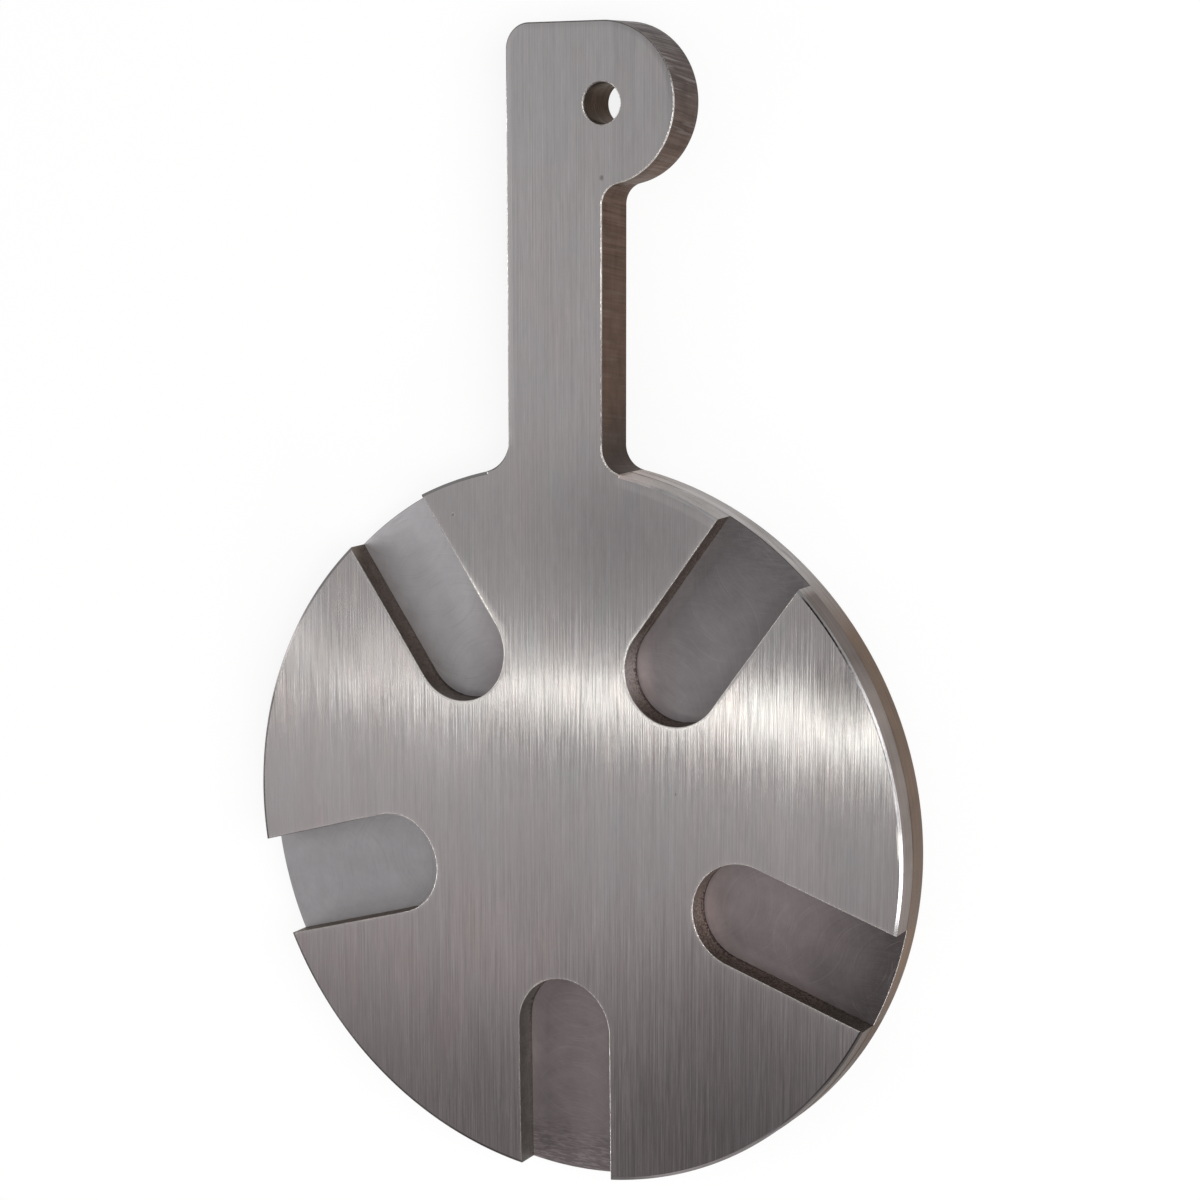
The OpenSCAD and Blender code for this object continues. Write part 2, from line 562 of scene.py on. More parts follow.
def feed(tree, made, name, value):
    """Set one input of a node, or link another node's output to it. A colour is red, green and blue."""
    socket = made.inputs[name]
    if isinstance(value, bpy.types.NodeSocket):
        tree.links.new(value, socket)
    elif socket.type == "RGBA":
        socket.default_value = (*value, 1)
    else:
        socket.default_value = value


def calc(tree, operation, *values, clamp=False):
    """The result of a Math node on up to three values."""
    made = node(tree, "ShaderNodeMath", dict(enumerate(values)), operation=operation, use_clamp=clamp)
    return made.outputs[0]


def in_turn(tree, operation, values):
    """The result of a Math node on the first two values, then on that and the next, and so on."""
    result = values[0]
    for value in values[1:]:
        result = calc(tree, operation, result, value)
    return result


def times(tree, *values):
    """The product of values."""
    return in_turn(tree, "MULTIPLY", values)


def most(tree, *values):
    """The largest of values."""
    return in_turn(tree, "MAXIMUM", values)


def without(tree, share):
    """What a share leaves of one."""
    return calc(tree, "SUBTRACT", 1.0, share)


def weigh(tree, *pairs):
    """The sum of values, each times its weight."""
    total = None
    for value, weight in pairs:
        if total is None:
            total = calc(tree, "MULTIPLY", value, weight)
        else:
            total = calc(tree, "MULTIPLY_ADD", value, weight, total)
    return total


def swing(tree, value, gain, clamp=False):
    """A value moved away from one half, or towards it, by a gain."""
    return calc(tree, "MULTIPLY_ADD", calc(tree, "SUBTRACT", value, 0.5), gain, 0.5, clamp=clamp)


def between(tree, share, first, second):
    """A number between two others."""
    return calc(tree, "MULTIPLY_ADD", share, second - first, first)


def hypot(tree, first, second):
    """The length of a line, from its two shares at right angles."""
    return calc(tree, "SQRT", weigh(tree, (second, second), (first, first)))


def bearing(tree, ahead, aside):
    """The direction of a line in degrees, from its two shares at right angles."""
    return calc(tree, "DEGREES", calc(tree, "ARCTAN2", ahead, aside))


def spread(tree, value, low, high, to_low=0.0, to_high=1.0):
    """A value stretched from one range to another, and held at its ends."""
    return node(tree, "ShaderNodeMapRange", {"Value": value, "From Min": low, "From Max": high,
                                             "To Min": to_low, "To Max": to_high}).outputs[0]


def ramp(tree, length, low, high, to_low=0.0, to_high=1.0):
    """A length stretched from a range in millimetres to another range, and held at its ends."""
    return spread(tree, length, low * MM, high * MM, to_low, to_high)


def window(tree, value, start, full, fade, end):
    """One between two values, and gone a little outside them."""
    return times(tree, spread(tree, value, start, full), spread(tree, value, fade, end, 1.0, 0.0))


def axes_of(tree, place):
    """The parts of a place along x, y and z."""
    return node(tree, "ShaderNodeSeparateXYZ", {0: place}).outputs


def place_at(tree, x, y, z):
    """A place made up of its parts along x, y and z."""
    return node(tree, "ShaderNodeCombineXYZ", {0: x, 1: y, 2: z}).outputs[0]


def blend(tree, share, first, second):
    """A colour between two others."""
    return node(tree, "ShaderNodeMix", {0: share, 6: first, 7: second}, data_type="RGBA").outputs[2]


def multiply(tree, first, second):
    """One colour times another."""
    feeds = {0: 1.0, 6: first, 7: second}
    return node(tree, "ShaderNodeMix", feeds, data_type="RGBA", blend_type="MULTIPLY").outputs[2]


def tinted(tree, colour, share, tint):
    """A colour times a tint, as far as the share of the tint goes."""
    return multiply(tree, colour, blend(tree, share, WHITE, tint))


def lit_to(tree, colour, level):
    """A colour times one number."""
    return multiply(tree, colour, place_at(tree, level, level, level))


def lengths(x, y, z):
    """Lengths given in millimetres, in metres."""
    return x * MM, y * MM, z * MM


def new_group(name, inputs, outputs):
    """An empty node group with its named sockets, and its two end nodes."""
    tree = bpy.data.node_groups.new(name, "ShaderNodeTree")
    for label, kind, value in inputs:
        socket = tree.interface.new_socket(label, in_out="INPUT", socket_type=kind)
        if value is not None:
            socket.default_value = value
    for label, kind in outputs:
        tree.interface.new_socket(label, in_out="OUTPUT", socket_type=kind)
    return tree, tree.nodes.new("NodeGroupInput").outputs, tree.nodes.new("NodeGroupOutput")


def use(tree, group, **feeds):
    """A node group placed in a material, with its own values."""
    made = tree.nodes.new("ShaderNodeGroup")
    made.node_tree = group
    for name, value in feeds.items():
        feed(tree, made, name.replace("_", " "), value)
    return made.outputs


def lines_group():
    """Drawn-out marks: noise stretched by its own length along each axis."""
    tree, given, end = new_group("drawn lines", (
        ("Place", "NodeSocketVector", None),
        ("Stretch", "NodeSocketVector", (MM, MM, MM)),
        ("Detail", "NodeSocketFloat", 2.0),
        ("Contrast", "NodeSocketFloat", 1.0),
    ), (("Lines", "NodeSocketFloat"),))
    place = node(tree, "ShaderNodeVectorMath", {0: given["Place"], 1: given["Stretch"]}, operation="DIVIDE")
    noise = node(tree, "ShaderNodeTexNoise", {"Vector": place.outputs[0], "Scale": 1.0,
                                              "Detail": given["Detail"], "Roughness": 0.6})
    lines = swing(tree, noise.outputs["Fac"], given["Contrast"], clamp=True)
    tree.links.new(lines, end.inputs["Lines"])
    return tree


def scratch_group():
    """A few thin scratches, where stretched noise passes its middle value."""
    tree, given, end = new_group("thin scratches", (
        ("Place", "NodeSocketVector", None),
        ("Stretch", "NodeSocketVector", (MM, MM, MM)),
        ("Width", "NodeSocketFloat", 0.01),
        ("Share", "NodeSocketFloat", 0.5),
    ), (("Mask", "NodeSocketFloat"),))
    place = node(tree, "ShaderNodeVectorMath", {0: given["Place"], 1: given["Stretch"]}, operation="DIVIDE")
    noise = node(tree, "ShaderNodeTexNoise", {"Vector": place.outputs[0], "Scale": 1.0, "Detail": 1.0})
    off = calc(tree, "ABSOLUTE", calc(tree, "SUBTRACT", noise.outputs["Fac"], 0.5))
    line = calc(tree, "SUBTRACT", 1.0, calc(tree, "DIVIDE", off, given["Width"]), clamp=True)
    where = node(tree, "ShaderNodeTexNoise", {"Vector": place.outputs[0], "Scale": 0.37, "Detail": 0.0})
    shown = calc(tree, "GREATER_THAN", given["Share"], where.outputs["Fac"])
    tree.links.new(times(tree, line, shown), end.inputs["Mask"])
    return tree


def patch_group():
    """A soft round patch about a centre, full in the middle and gone at its reach."""
    tree, given, end = new_group("soft patch", (
        ("Place", "NodeSocketVector", None),
        ("Centre", "NodeSocketVector", (0, 0, PLATE_T)),
        ("Reach", "NodeSocketFloat", 10 * MM),
    ), (("Mask", "NodeSocketFloat"),))
    away = node(tree, "ShaderNodeVectorMath", {0: given["Place"], 1: given["Centre"]}, operation="DISTANCE")
    share = calc(tree, "DIVIDE", away.outputs["Value"], given["Reach"])
    fall = node(tree, "ShaderNodeMapRange", {"Value": share, "To Min": 1.0, "To Max": 0.0},
                interpolation_type="SMOOTHSTEP")
    tree.links.new(fall.outputs[0], end.inputs["Mask"])
    return tree


def slot_group():
    """A slot's own measures at a place: how far across it, and how far outside its wall."""
    tree, given, end = new_group("slot measure", (
        ("Place", "NodeSocketVector", None),
        ("Direction", "NodeSocketFloat", 0.0),
    ), (("Across", "NodeSocketFloat"), ("Outside", "NodeSocketFloat")))
    back = calc(tree, "RADIANS", times(tree, given["Direction"], -1.0))
    turned = node(tree, "ShaderNodeVectorRotate", {"Vector": given["Place"], "Angle": back},
                  rotation_type="Z_AXIS")
    along, across = axes_of(tree, turned.outputs[0])[:2]
    short = calc(tree, "MINIMUM", calc(tree, "SUBTRACT", along, SLOT_REACH), 0.0)
    tree.links.new(across, end.inputs["Across"])
    tree.links.new(calc(tree, "SUBTRACT", hypot(tree, short, across), SLOT_W / 2), end.inputs["Outside"])
    return tree


def steel(name, edge_tint=WHITE):
    """A bare metal material, with its shader and the place on the object."""
    material = bpy.data.materials.new(name)
    material.use_nodes = True
    tree = material.node_tree
    shader = tree.nodes["Principled BSDF"]
    shader.inputs["Metallic"].default_value = 1.0
    shader.inputs["Specular Tint"].default_value = (*edge_tint, 1)
    return material, tree, shader, node(tree, "ShaderNodeTexCoord").outputs["Object"]


def grain_map(tree):
    """The place on the surface's own map."""
    return node(tree, "ShaderNodeUVMap", uv_map="grain").outputs["UV"]


def raise_surface(tree, shader, height):
    """Bump a surface by a height in millimetres."""
    bump = node(tree, "ShaderNodeBump", {"Height": height, "Distance": MM, "Strength": 1.0})
    feed(tree, shader, "Normal", bump.outputs["Normal"])


def drawn(tree, groups, place, stretch, detail, contrast):
    """Marks on a surface, by their length in millimetres along each axis."""
    return use(tree, groups["lines"], Place=place, Stretch=lengths(*stretch),
               Detail=detail, Contrast=contrast)[0]


def patches_on(tree, groups, place, patches):
    """The sum of soft patches, each by its centre and reach in millimetres and its share, or in full."""
    total = 0.0
    for x, y, reach, *share in patches:
        mask = use(tree, groups["patch"], Place=place, Centre=(x * MM, y * MM, PLATE_T), Reach=reach * MM)[0]
        total = calc(tree, "MULTIPLY_ADD", mask, share[0] if share else 1.0, total)
    return total


def slots_outside(tree, groups, place):
    """How far outside the nearest slot's wall a place lies, and below zero between the walls."""
    outside = [use(tree, groups["slot"], Place=place, Direction=direction)["Outside"]
               for direction in SLOT_DIRECTIONS]
    return in_turn(tree, "MINIMUM", outside)


def rolled_off(tree, inside, width, depth):
    """Millimetres by which a face falls away within a width of its edge, from how far inside a place lies."""
    near = ramp(tree, inside, 0.0, width, 1.0, 0.0)
    return times(tree, near, near, depth)


def head_inside(tree, x, y):
    """How far inside the head's left, top and upper right edges a place lies."""
    def past(value, limit):
        return most(tree, calc(tree, "SUBTRACT", value, limit), 0.0)

    from_corner = hypot(tree, past(SHANK_LEFT + CORNER_R, x), past(y, HEAD_TOP - CORNER_R))
    corner = calc(tree, "SUBTRACT", CORNER_R, from_corner)
    round_side = calc(tree, "SUBTRACT", HEAD_R, hypot(tree, past(x, EYE.x), past(y, EYE.y)))
    return calc(tree, "MINIMUM", corner, round_side)


def streak_gain(tree, x, y):
    """How strongly the brushed streaks show, from place to place on the face."""
    return times(tree, ramp(tree, y, -26, -6, 1.75, 0.65), ramp(tree, y, 10, 30, 1.0, 3.1),
                 ramp(tree, y, 42, 58, 1.0, 0.13), ramp(tree, y, 82, 90, 1.0, 2.3),
                 ramp(tree, x, -70, 5, 0.5, 1.0))


def burr_flecks(tree, groups, place, near):
    """Flecks of burr on the face, right beside the slots' edges, with a painted glint."""
    flecks = drawn(tree, groups, place, (0.35, 0.35, 1), 2.0, 4.0)
    runs = drawn(tree, groups, place, (8, 8, 8), 1.0, 3.2)
    runs = calc(tree, "MULTIPLY_ADD", runs, 0.5, patches_on(tree, groups, place, BURR_GLINTS), clamp=True)
    return times(tree, ramp(tree, near, 0.20, 0.62, 1.0, 0.0), spread(tree, flecks, 0.30, 0.65), runs)


def face_fall(tree, groups, place, near):
    """Millimetres by which the face rolls over at the slots, round the head and at parts of the rim."""
    x, y = axes_of(tree, place)[:2]
    rim_inside = calc(tree, "SUBTRACT", DISC_R - RIM_LEDGE - FRONT_CHAMFER_IN, hypot(tree, x, y))
    by_band = ramp(tree, y, 6, 22, 0.1, 1.0)
    by_head = ramp(tree, y, 93, 97)
    by_root = times(tree, ramp(tree, y, 70, 77), ramp(tree, x, 14, 20))
    by_side = spread(tree, calc(tree, "ABSOLUTE", bearing(tree, y, x)), 4.0, 9.0, 1.0, 0.0)
    across = use(tree, groups["slot"], Place=place, Direction=SLOT_DIRECTIONS[0])["Across"]
    beside_slot = times(tree, ramp(tree, across, -12, -6, 1.0, 0.0), ramp(tree, y, 56, 68, 1.0, 0.0),
                        ramp(tree, x, -2, 6, 1.0, 0.0))
    return weigh(tree, (rolled_off(tree, near, 0.9, 0.012), by_band),
                 (rolled_off(tree, head_inside(tree, x, y), 1.8, 0.17), by_head),
                 (rolled_off(tree, rim_inside, 2.4, 0.12), by_root),
                 (rolled_off(tree, rim_inside, 0.8, 0.10), by_side),
                 (rolled_off(tree, near, 2.4, 0.034), beside_slot))


def brushed_face(groups):
    """Both flat faces: a fine brushed grain along the handle, rolled over a little at their edges."""
    material, tree, shader, place = steel("brushed_face")
    x, y = axes_of(tree, place)[:2]
    fine = drawn(tree, groups, place, (0.19, 16, 5), 3.0, 3.6)
    long = drawn(tree, groups, place, (0.42, 44, 5), 2.0, 2.6)
    grit = drawn(tree, groups, place, (0.22, 3.2, 5), 2.0, 3.0)
    soft = drawn(tree, groups, place, (0.9, 4.5, 5), 2.0, 1.6)
    broad = drawn(tree, groups, place, (7, 60, 50), 2.0, 1.6)
    hues = drawn(tree, groups, place, (9, 17, 30), 3.0, 2.2)
    furrows = drawn(tree, groups, place, (0.24, 220, 50), 1.0, 2.0)
    near = slots_outside(tree, groups, place)
    dulled = ramp(tree, near, 0.1, 1.6, 1.0, 0.0)
    pits = patches_on(tree, groups, place, PITS)
    streaks = swing(tree, weigh(tree, (fine, 0.52), (long, 0.34), (grit, 0.14)), streak_gain(tree, x, y))
    tone = weigh(tree, (streaks, 0.62), (soft, 0.18), (broad, 0.20))
    # Darker and paler patches: partly random tone, partly painted shade and painted highlight on the mirrored
    # strip band
    tone = calc(tree, "SUBTRACT", tone, patches_on(tree, groups, place, DARK_PATCHES))
    tone = calc(tree, "ADD", tone, patches_on(tree, groups, place, PALE_PATCHES))
    cool = weigh(tree, (hues, 0.75), (ramp(tree, y, 120, 175), 0.3))
    colour = blend(tree, tone, FACE_DARK, FACE_LIGHT)
    colour = multiply(tree, colour, blend(tree, cool, FACE_WARM, FACE_COOL))
    # Painted shade where the face mirrors a darker part of the room
    colour = tinted(tree, colour, patches_on(tree, groups, place, SHADE_PATCHES), SHADE_TINT)
    colour = blend(tree, times(tree, dulled, 0.16), colour, BURR_LIGHT)
    # Painted glint on the burr flecks
    colour = blend(tree, burr_flecks(tree, groups, place, near), colour, FLECK_GLINT)
    feed(tree, shader, "Base Color", blend(tree, times(tree, pits, 0.7), colour, PIT_DARK))
    rough = weigh(tree, (streaks, 0.06), (soft, 0.03), (dulled, 0.03))
    feed(tree, shader, "Roughness", calc(tree, "ADD", rough, FACE_ROUGHNESS))
    shader.inputs["Anisotropic"].default_value = 1.0
    tangent = node(tree, "ShaderNodeTangent", direction_type="UV_MAP", uv_map="grain")
    feed(tree, shader, "Tangent", tangent.outputs[0])
    fall = face_fall(tree, groups, place, near)
    raise_surface(tree, shader, weigh(tree, (furrows, 0.012), (soft, 0.0003), (pits, -0.05), (fall, -1.0)))
    return material


def floor_level(tree, far, y, left, right, high):
    """Painted light and shade on a slot's floor: its brightness, which falls off outward on the right, and
    low down elsewhere.
    """
    fade = times(tree, ramp(tree, far, 58, 86), between(tree, high, 0.66, 0.30))
    inner_end = times(tree, ramp(tree, far, 36, 58, 1.0, 0.0), between(tree, high, 0.18, 0.55))
    outward = calc(tree, "SUBTRACT", calc(tree, "ADD", inner_end, 0.06), fade)
    low_left = ramp(tree, y, -8, 24, -0.33, -0.05)
    low_end = ramp(tree, y, -62, -84, 0.0, -0.15)
    change = weigh(tree, (outward, right), (low_left, left), (low_end, without(tree, right)))
    return calc(tree, "ADD", change, 1.0)


def milled_floor(groups):
    """Slot floors: crossing arcs left by the end of the milling cutter as it ran along the slot, with painted
    light and shade.
    """
    material, tree, shader, place = steel("milled_floor")
    along, across = axes_of(tree, grain_map(tree))[:2]
    half = calc(tree, "SUBTRACT", (SLOT_W / 2) ** 2, times(tree, across, across))
    bow = calc(tree, "SQRT", most(tree, half, 0.0))
    marks = []
    swirls = []
    for sign in (1.0, -1.0):
        path = place_at(tree, calc(tree, "MULTIPLY_ADD", bow, sign, along), across, along)
        marks.append(drawn(tree, groups, path, (0.5, 26, 30), 2.0, 2.2))
        swirls.append(use(tree, groups["scratches"], Place=path, Stretch=lengths(1.0, 40, 30), Width=0.026,
                          Share=0.45)[0])
    patches = drawn(tree, groups, place, (7, 7, 7), 3.0, 1.7)
    cloud = drawn(tree, groups, place, (1.2, 1.2, 1.2), 2.0, 1.5)
    torn = drawn(tree, groups, place, (3.0, 0.45, 1), 3.0, 3.0)
    x, y = axes_of(tree, place)[:2]
    far = hypot(tree, x, y)
    left = ramp(tree, x, -30, -14, 1.0, 0.0)
    right = ramp(tree, x, 12, 30)
    high = ramp(tree, y, -10, 24)
    by_mouth = times(tree, ramp(tree, far, 76, 87, 0.0, 0.45), without(tree, left),
                     ramp(tree, y, -74, -66, 4.5, 1.0))
    tone = weigh(tree, (marks[0], 0.20), (marks[1], 0.14), (patches, 0.48), (cloud, 0.18),
                 (calc(tree, "SUBTRACT", torn, 0.62), by_mouth))
    tone = calc(tree, "ADD", tone, patches_on(tree, groups, place, FLOOR_SMEARS))
    colour = blend(tree, tone, blend(tree, left, FLOOR_DARK, LEFT_FLOOR_DARK),
                   blend(tree, left, FLOOR_LIGHT, LEFT_FLOOR_LIGHT))
    # Painted light beside the walls, making up for the dark walls that the floor mirrors
    aside = node(tree, "ShaderNodeVectorMath", {0: place, 1: FLOOR_LOOK}).outputs[0]
    by_wall = times(tree, ramp(tree, slots_outside(tree, groups, aside), -2.4, 1.6, 0.0, 0.5),
                    between(tree, left, 1.0, 0.45))
    colour = tinted(tree, colour, by_wall, PAINTED_LIGHT_BY_WALLS)
    # Painted light and shade: the floor's brightness by where it lies
    colour = lit_to(tree, colour, floor_level(tree, far, y, left, right, high))
    colour = tinted(tree, colour, times(tree, high, right), FLOOR_GREYER)
    worn = times(tree, most(tree, *swirls), between(tree, left, 0.09, 0.16))
    feed(tree, shader, "Base Color", blend(tree, worn, colour, blend(tree, left, BURR_LIGHT, FLOOR_DARK)))
    rough = weigh(tree, (marks[0], 0.08), (patches, 0.06))
    feed(tree, shader, "Roughness", calc(tree, "ADD", rough, FLOOR_ROUGHNESS))
    raise_surface(tree, shader, weigh(tree, (marks[0], 0.010), (marks[1], 0.007), (swirls[0], 0.004)))
    return material


def slot_wall(groups):
    """Slot walls: mottled from the cutter's rub, with marks along them and upright; painted light in pale
    patches, painted shade on the upper slots' walls and a painted shadow at their foot.
    """
    material, tree, shader, place = steel("slot_wall", WALL_TINT)
    grain = grain_map(tree)
    upright = drawn(tree, groups, grain, (0.4, 4, 1), 2.0, 2.0)
    level = drawn(tree, groups, grain, (7, 0.5, 1), 3.0, 2.2)
    speckle = drawn(tree, groups, place, (0.5, 0.5, 0.5), 3.0, 4.4)
    patches = drawn(tree, groups, place, (3, 3, 3), 3.0, 1.6)
    x, y, z = axes_of(tree, place)
    round_end = ramp(tree, hypot(tree, x, y), 50, 57, 1.0, 0.3)
    low = spread(tree, z, SLOT_FLOOR_Z, PLATE_T, 0.10, -0.08)
    # Painted shadow in the crease at the foot of the walls, strongest at the round ends, with a ragged top
    ragged = calc(tree, "MULTIPLY_ADD", calc(tree, "SUBTRACT", speckle, 0.5), 1.6 * MM, z)
    foot_shadow = spread(tree, ragged, SLOT_FLOOR_Z + 0.4 * MM, SLOT_FLOOR_Z + 1.5 * MM, 0.85, 0.0)
    lowest = ramp(tree, y, -34, -44)
    contrast = times(tree, between(tree, lowest, 1.0, 0.3), ramp(tree, x, -20, 10, 0.6, 1.4))
    speckle = swing(tree, speckle, contrast)
    tone = weigh(tree, (upright, 0.10), (level, 0.22), (speckle, 0.44), (patches, 0.24), (low, 1.0))
    # Pale patches: painted light
    tone = calc(tree, "ADD", tone, patches_on(tree, groups, place, WALL_PALE_PATCHES), clamp=True)
    colour = tinted(tree, blend(tree, tone, WALL_DARK, WALL_LIGHT), lowest, WALL_GREYER)
    # Painted shade on the walls of the upper slots
    shaded = times(tree, ramp(tree, y, 10, 25), ramp(tree, x, -15, 15, 0.42, 0.18))
    colour = blend(tree, shaded, colour, WALL_DARK)
    # Mottled painted light on the walls
    lit_mottle = times(tree, patches_on(tree, groups, place, WALL_LIT_MOTTLE),
                   spread(tree, speckle, 0.1, 0.7, 0.35, 1.0))
    colour = blend(tree, lit_mottle, colour, BURR_LIGHT)
    feed(tree, shader, "Base Color", blend(tree, times(tree, foot_shadow, round_end), colour, WALL_FOOT_SHADOW))
    feed(tree, shader, "Roughness", spread(tree, tone, 0.3, 0.7, 0.62, 0.50))
    raise_surface(tree, shader, weigh(tree, (upright, 0.015), (level, 0.03), (speckle, 0.012)))
    return material


def scoured_steel(tree, tone, scoured, dark, light):
    """A part of the rim by its own dark and light colour, and by the scoured ones where it is scoured."""
    return blend(tree, tone, blend(tree, scoured, dark, RIM_SCOURED_DARK),
                 blend(tree, scoured, light, RIM_SCOURED_LIGHT))


def rim_wall(tree, turn, y, z, tone):
    """The rim's colour below its chamfer: behind the ledge and before it, and darker towards the bottom,
    painted shade.
    """
    bare_behind = window(tree, turn, 36.0, 50.0, 122.0, 160.0)
    bare_before = window(tree, turn, 44.0, 46.0, 122.0, 160.0)
    behind = scoured_steel(tree, tone, bare_behind, RIM_BACK_DARK, RIM_BACK_LIGHT)
    before = scoured_steel(tree, tone, bare_before, RIM_FRONT_DARK, RIM_FRONT_LIGHT)
    above = times(tree, window(tree, turn, 27.0, 33.0, 44.0, 45.0), 0.45)
    # Painted shade, darker towards the bottom
    shade = times(tree, ramp(tree, y, -48, -26, 0.55, 1.0), without(tree, above))
    behind = blend(tree, ramp(tree, y, -26, -48, 0.0, 0.48), behind, NEAR_BLACK)
    before = blend(tree, without(tree, shade), before, NEAR_BLACK)
    return blend(tree, spread(tree, z, SLOT_FLOOR_Z, SLOT_FLOOR_Z + 0.4 * MM), behind, before)


def rim_chamfer(tree, turn, tone, highlight_stretch):
    """The chamfer's colour: bright, with painted highlights on two lifted stretches and a stronger one on a
    third.
    """
    lifted = most(tree, window(tree, turn, 56.0, 62.0, 80.0, 86.0),
                  window(tree, turn, -78.0, -72.0, -62.0, -56.0))
    bright = tinted(tree, blend(tree, tone, FACE_DARK, FACE_LIGHT), lifted, LIFTED_TINT)
    return tinted(tree, bright, highlight_stretch, HIGHLIGHT_TINT)


def rim_shade(tree, turn, z, chamfer, highlight_stretch, specks):
    """Share of painted shade on the chamfer: a speckled dark line at the upper right, darker stretches low
    and on the left, and a dark inner line.
    """
    inner = spread(tree, z, PLATE_T - 0.20 * MM, PLATE_T - 0.12 * MM)
    dark_line = calc(tree, "SUBTRACT", spread(tree, turn, 25.0, 38.0, 0.0, 1.5), times(tree, specks, 0.7))
    inner_part = times(tree, inner, spread(tree, turn, 43.5, 45.0, 1.0, 0.0))
    dark_line = calc(tree, "MULTIPLY", dark_line, inner_part, clamp=True)
    inner_half = spread(tree, z, PLATE_T - 0.22 * MM, PLATE_T - 0.12 * MM, 0.25, 1.0)
    low_right = times(tree, window(tree, turn, -56.0, -46.0, -24.0, -14.0), 0.80, inner_half)
    low_left = spread(tree, turn, -90.0, -100.0, 0.0, 0.55)
    round_left = calc(tree, "ABSOLUTE", turn)
    left = weigh(tree, (spread(tree, round_left, 96.0, 102.0), 0.38),
                 (spread(tree, round_left, 136.0, 148.0), 0.34))
    shaded_chamfer = times(tree, most(tree, low_right, low_left, left), chamfer)
    innermost = times(tree, spread(tree, z, PLATE_T - 0.11 * MM, PLATE_T - 0.06 * MM), highlight_stretch)
    inner_line = calc(tree, "MULTIPLY", innermost, calc(tree, "SUBTRACT", 1.2, specks), clamp=True)
    return most(tree, dark_line, shaded_chamfer, times(tree, inner_line, 0.85))


def turned_rim(groups, name, tint, lift=None):
    """Disc's rim: fine turning lines, brown behind the ledge, greyer before it and scoured by the root, with
    painted shade low down and on the chamfer and painted highlights on the chamfer.
    """
    material, tree, shader, place = steel(name, tint)
    x, y, z = axes_of(tree, place)
    turn = bearing(tree, y, x)
    scoured = window(tree, turn, 44.0, 52.0, 90.0, 96.0)
    patches = drawn(tree, groups, place, (11, 11, 11), 2.0, 2.4)
    stray = drawn(tree, groups, place, (7, 7, 7), 1.0, 2.0)
    stray = times(tree, calc(tree, "SUBTRACT", stray, 0.5), scoured, 2.2 * MM)
    around, up = axes_of(tree, grain_map(tree))[:2]
    path = place_at(tree, around, calc(tree, "ADD", up, stray), 0.0)
    fine = drawn(tree, groups, path, (16, 0.22, 1), 2.0, 2.2)
    wide = drawn(tree, groups, path, (30, 1.0, 1), 2.0, 2.2)
    specks = drawn(tree, groups, place, (0.7, 0.7, 0.7), 2.0, 4.0)
    chamfer = spread(tree, z, PLATE_T - FRONT_CHAMFER_DOWN - 0.05 * MM, PLATE_T - FRONT_CHAMFER_DOWN)
    # Stretch of the chamfer with a strong painted highlight
    highlight_stretch = window(tree, turn, 9.0, 15.0, 25.0, 31.0)
    tone = weigh(tree, (fine, 0.30), (wide, 0.34), (patches, 0.36))
    tone = swing(tree, tone, between(tree, scoured, 1.0, 1.7))
    from_ridge = calc(tree, "ABSOLUTE", calc(tree, "SUBTRACT", z, RIM_RIDGE_Z))
    ridge = times(tree, ramp(tree, from_ridge, 0.3, 1.6, 0.45, 0.0), scoured)
    tone = calc(tree, "ADD", tone, ridge)
    colour = blend(tree, chamfer, rim_wall(tree, turn, y, z, tone), rim_chamfer(tree, turn, tone, highlight_stretch))
    colour = tinted(tree, colour, window(tree, turn, 72.0, 80.0, 84.0, 90.0), BARED_TINT)
    # Brighter towards the plain rim, as the painted shade fades
    if lift:
        start, end, most_lift = lift
        colour = lit_to(tree, colour, spread(tree, turn, start, end, 1.0, most_lift))
    # Painted shade on the chamfer
    chamfer_shade = rim_shade(tree, turn, z, chamfer, highlight_stretch, specks)
    feed(tree, shader, "Base Color", blend(tree, chamfer_shade, colour, NEAR_BLACK))
    rough = spread(tree, tone, 0.3, 0.7, 0.26, 0.40)
    feed(tree, shader, "Roughness", times(tree, rough, between(tree, chamfer, 1.0, 0.5)))
    height = weigh(tree, (fine, 0.012), (wide, 0.012))
    raise_surface(tree, shader, times(tree, height, between(tree, chamfer, 1.0, 0.35)))
    return material


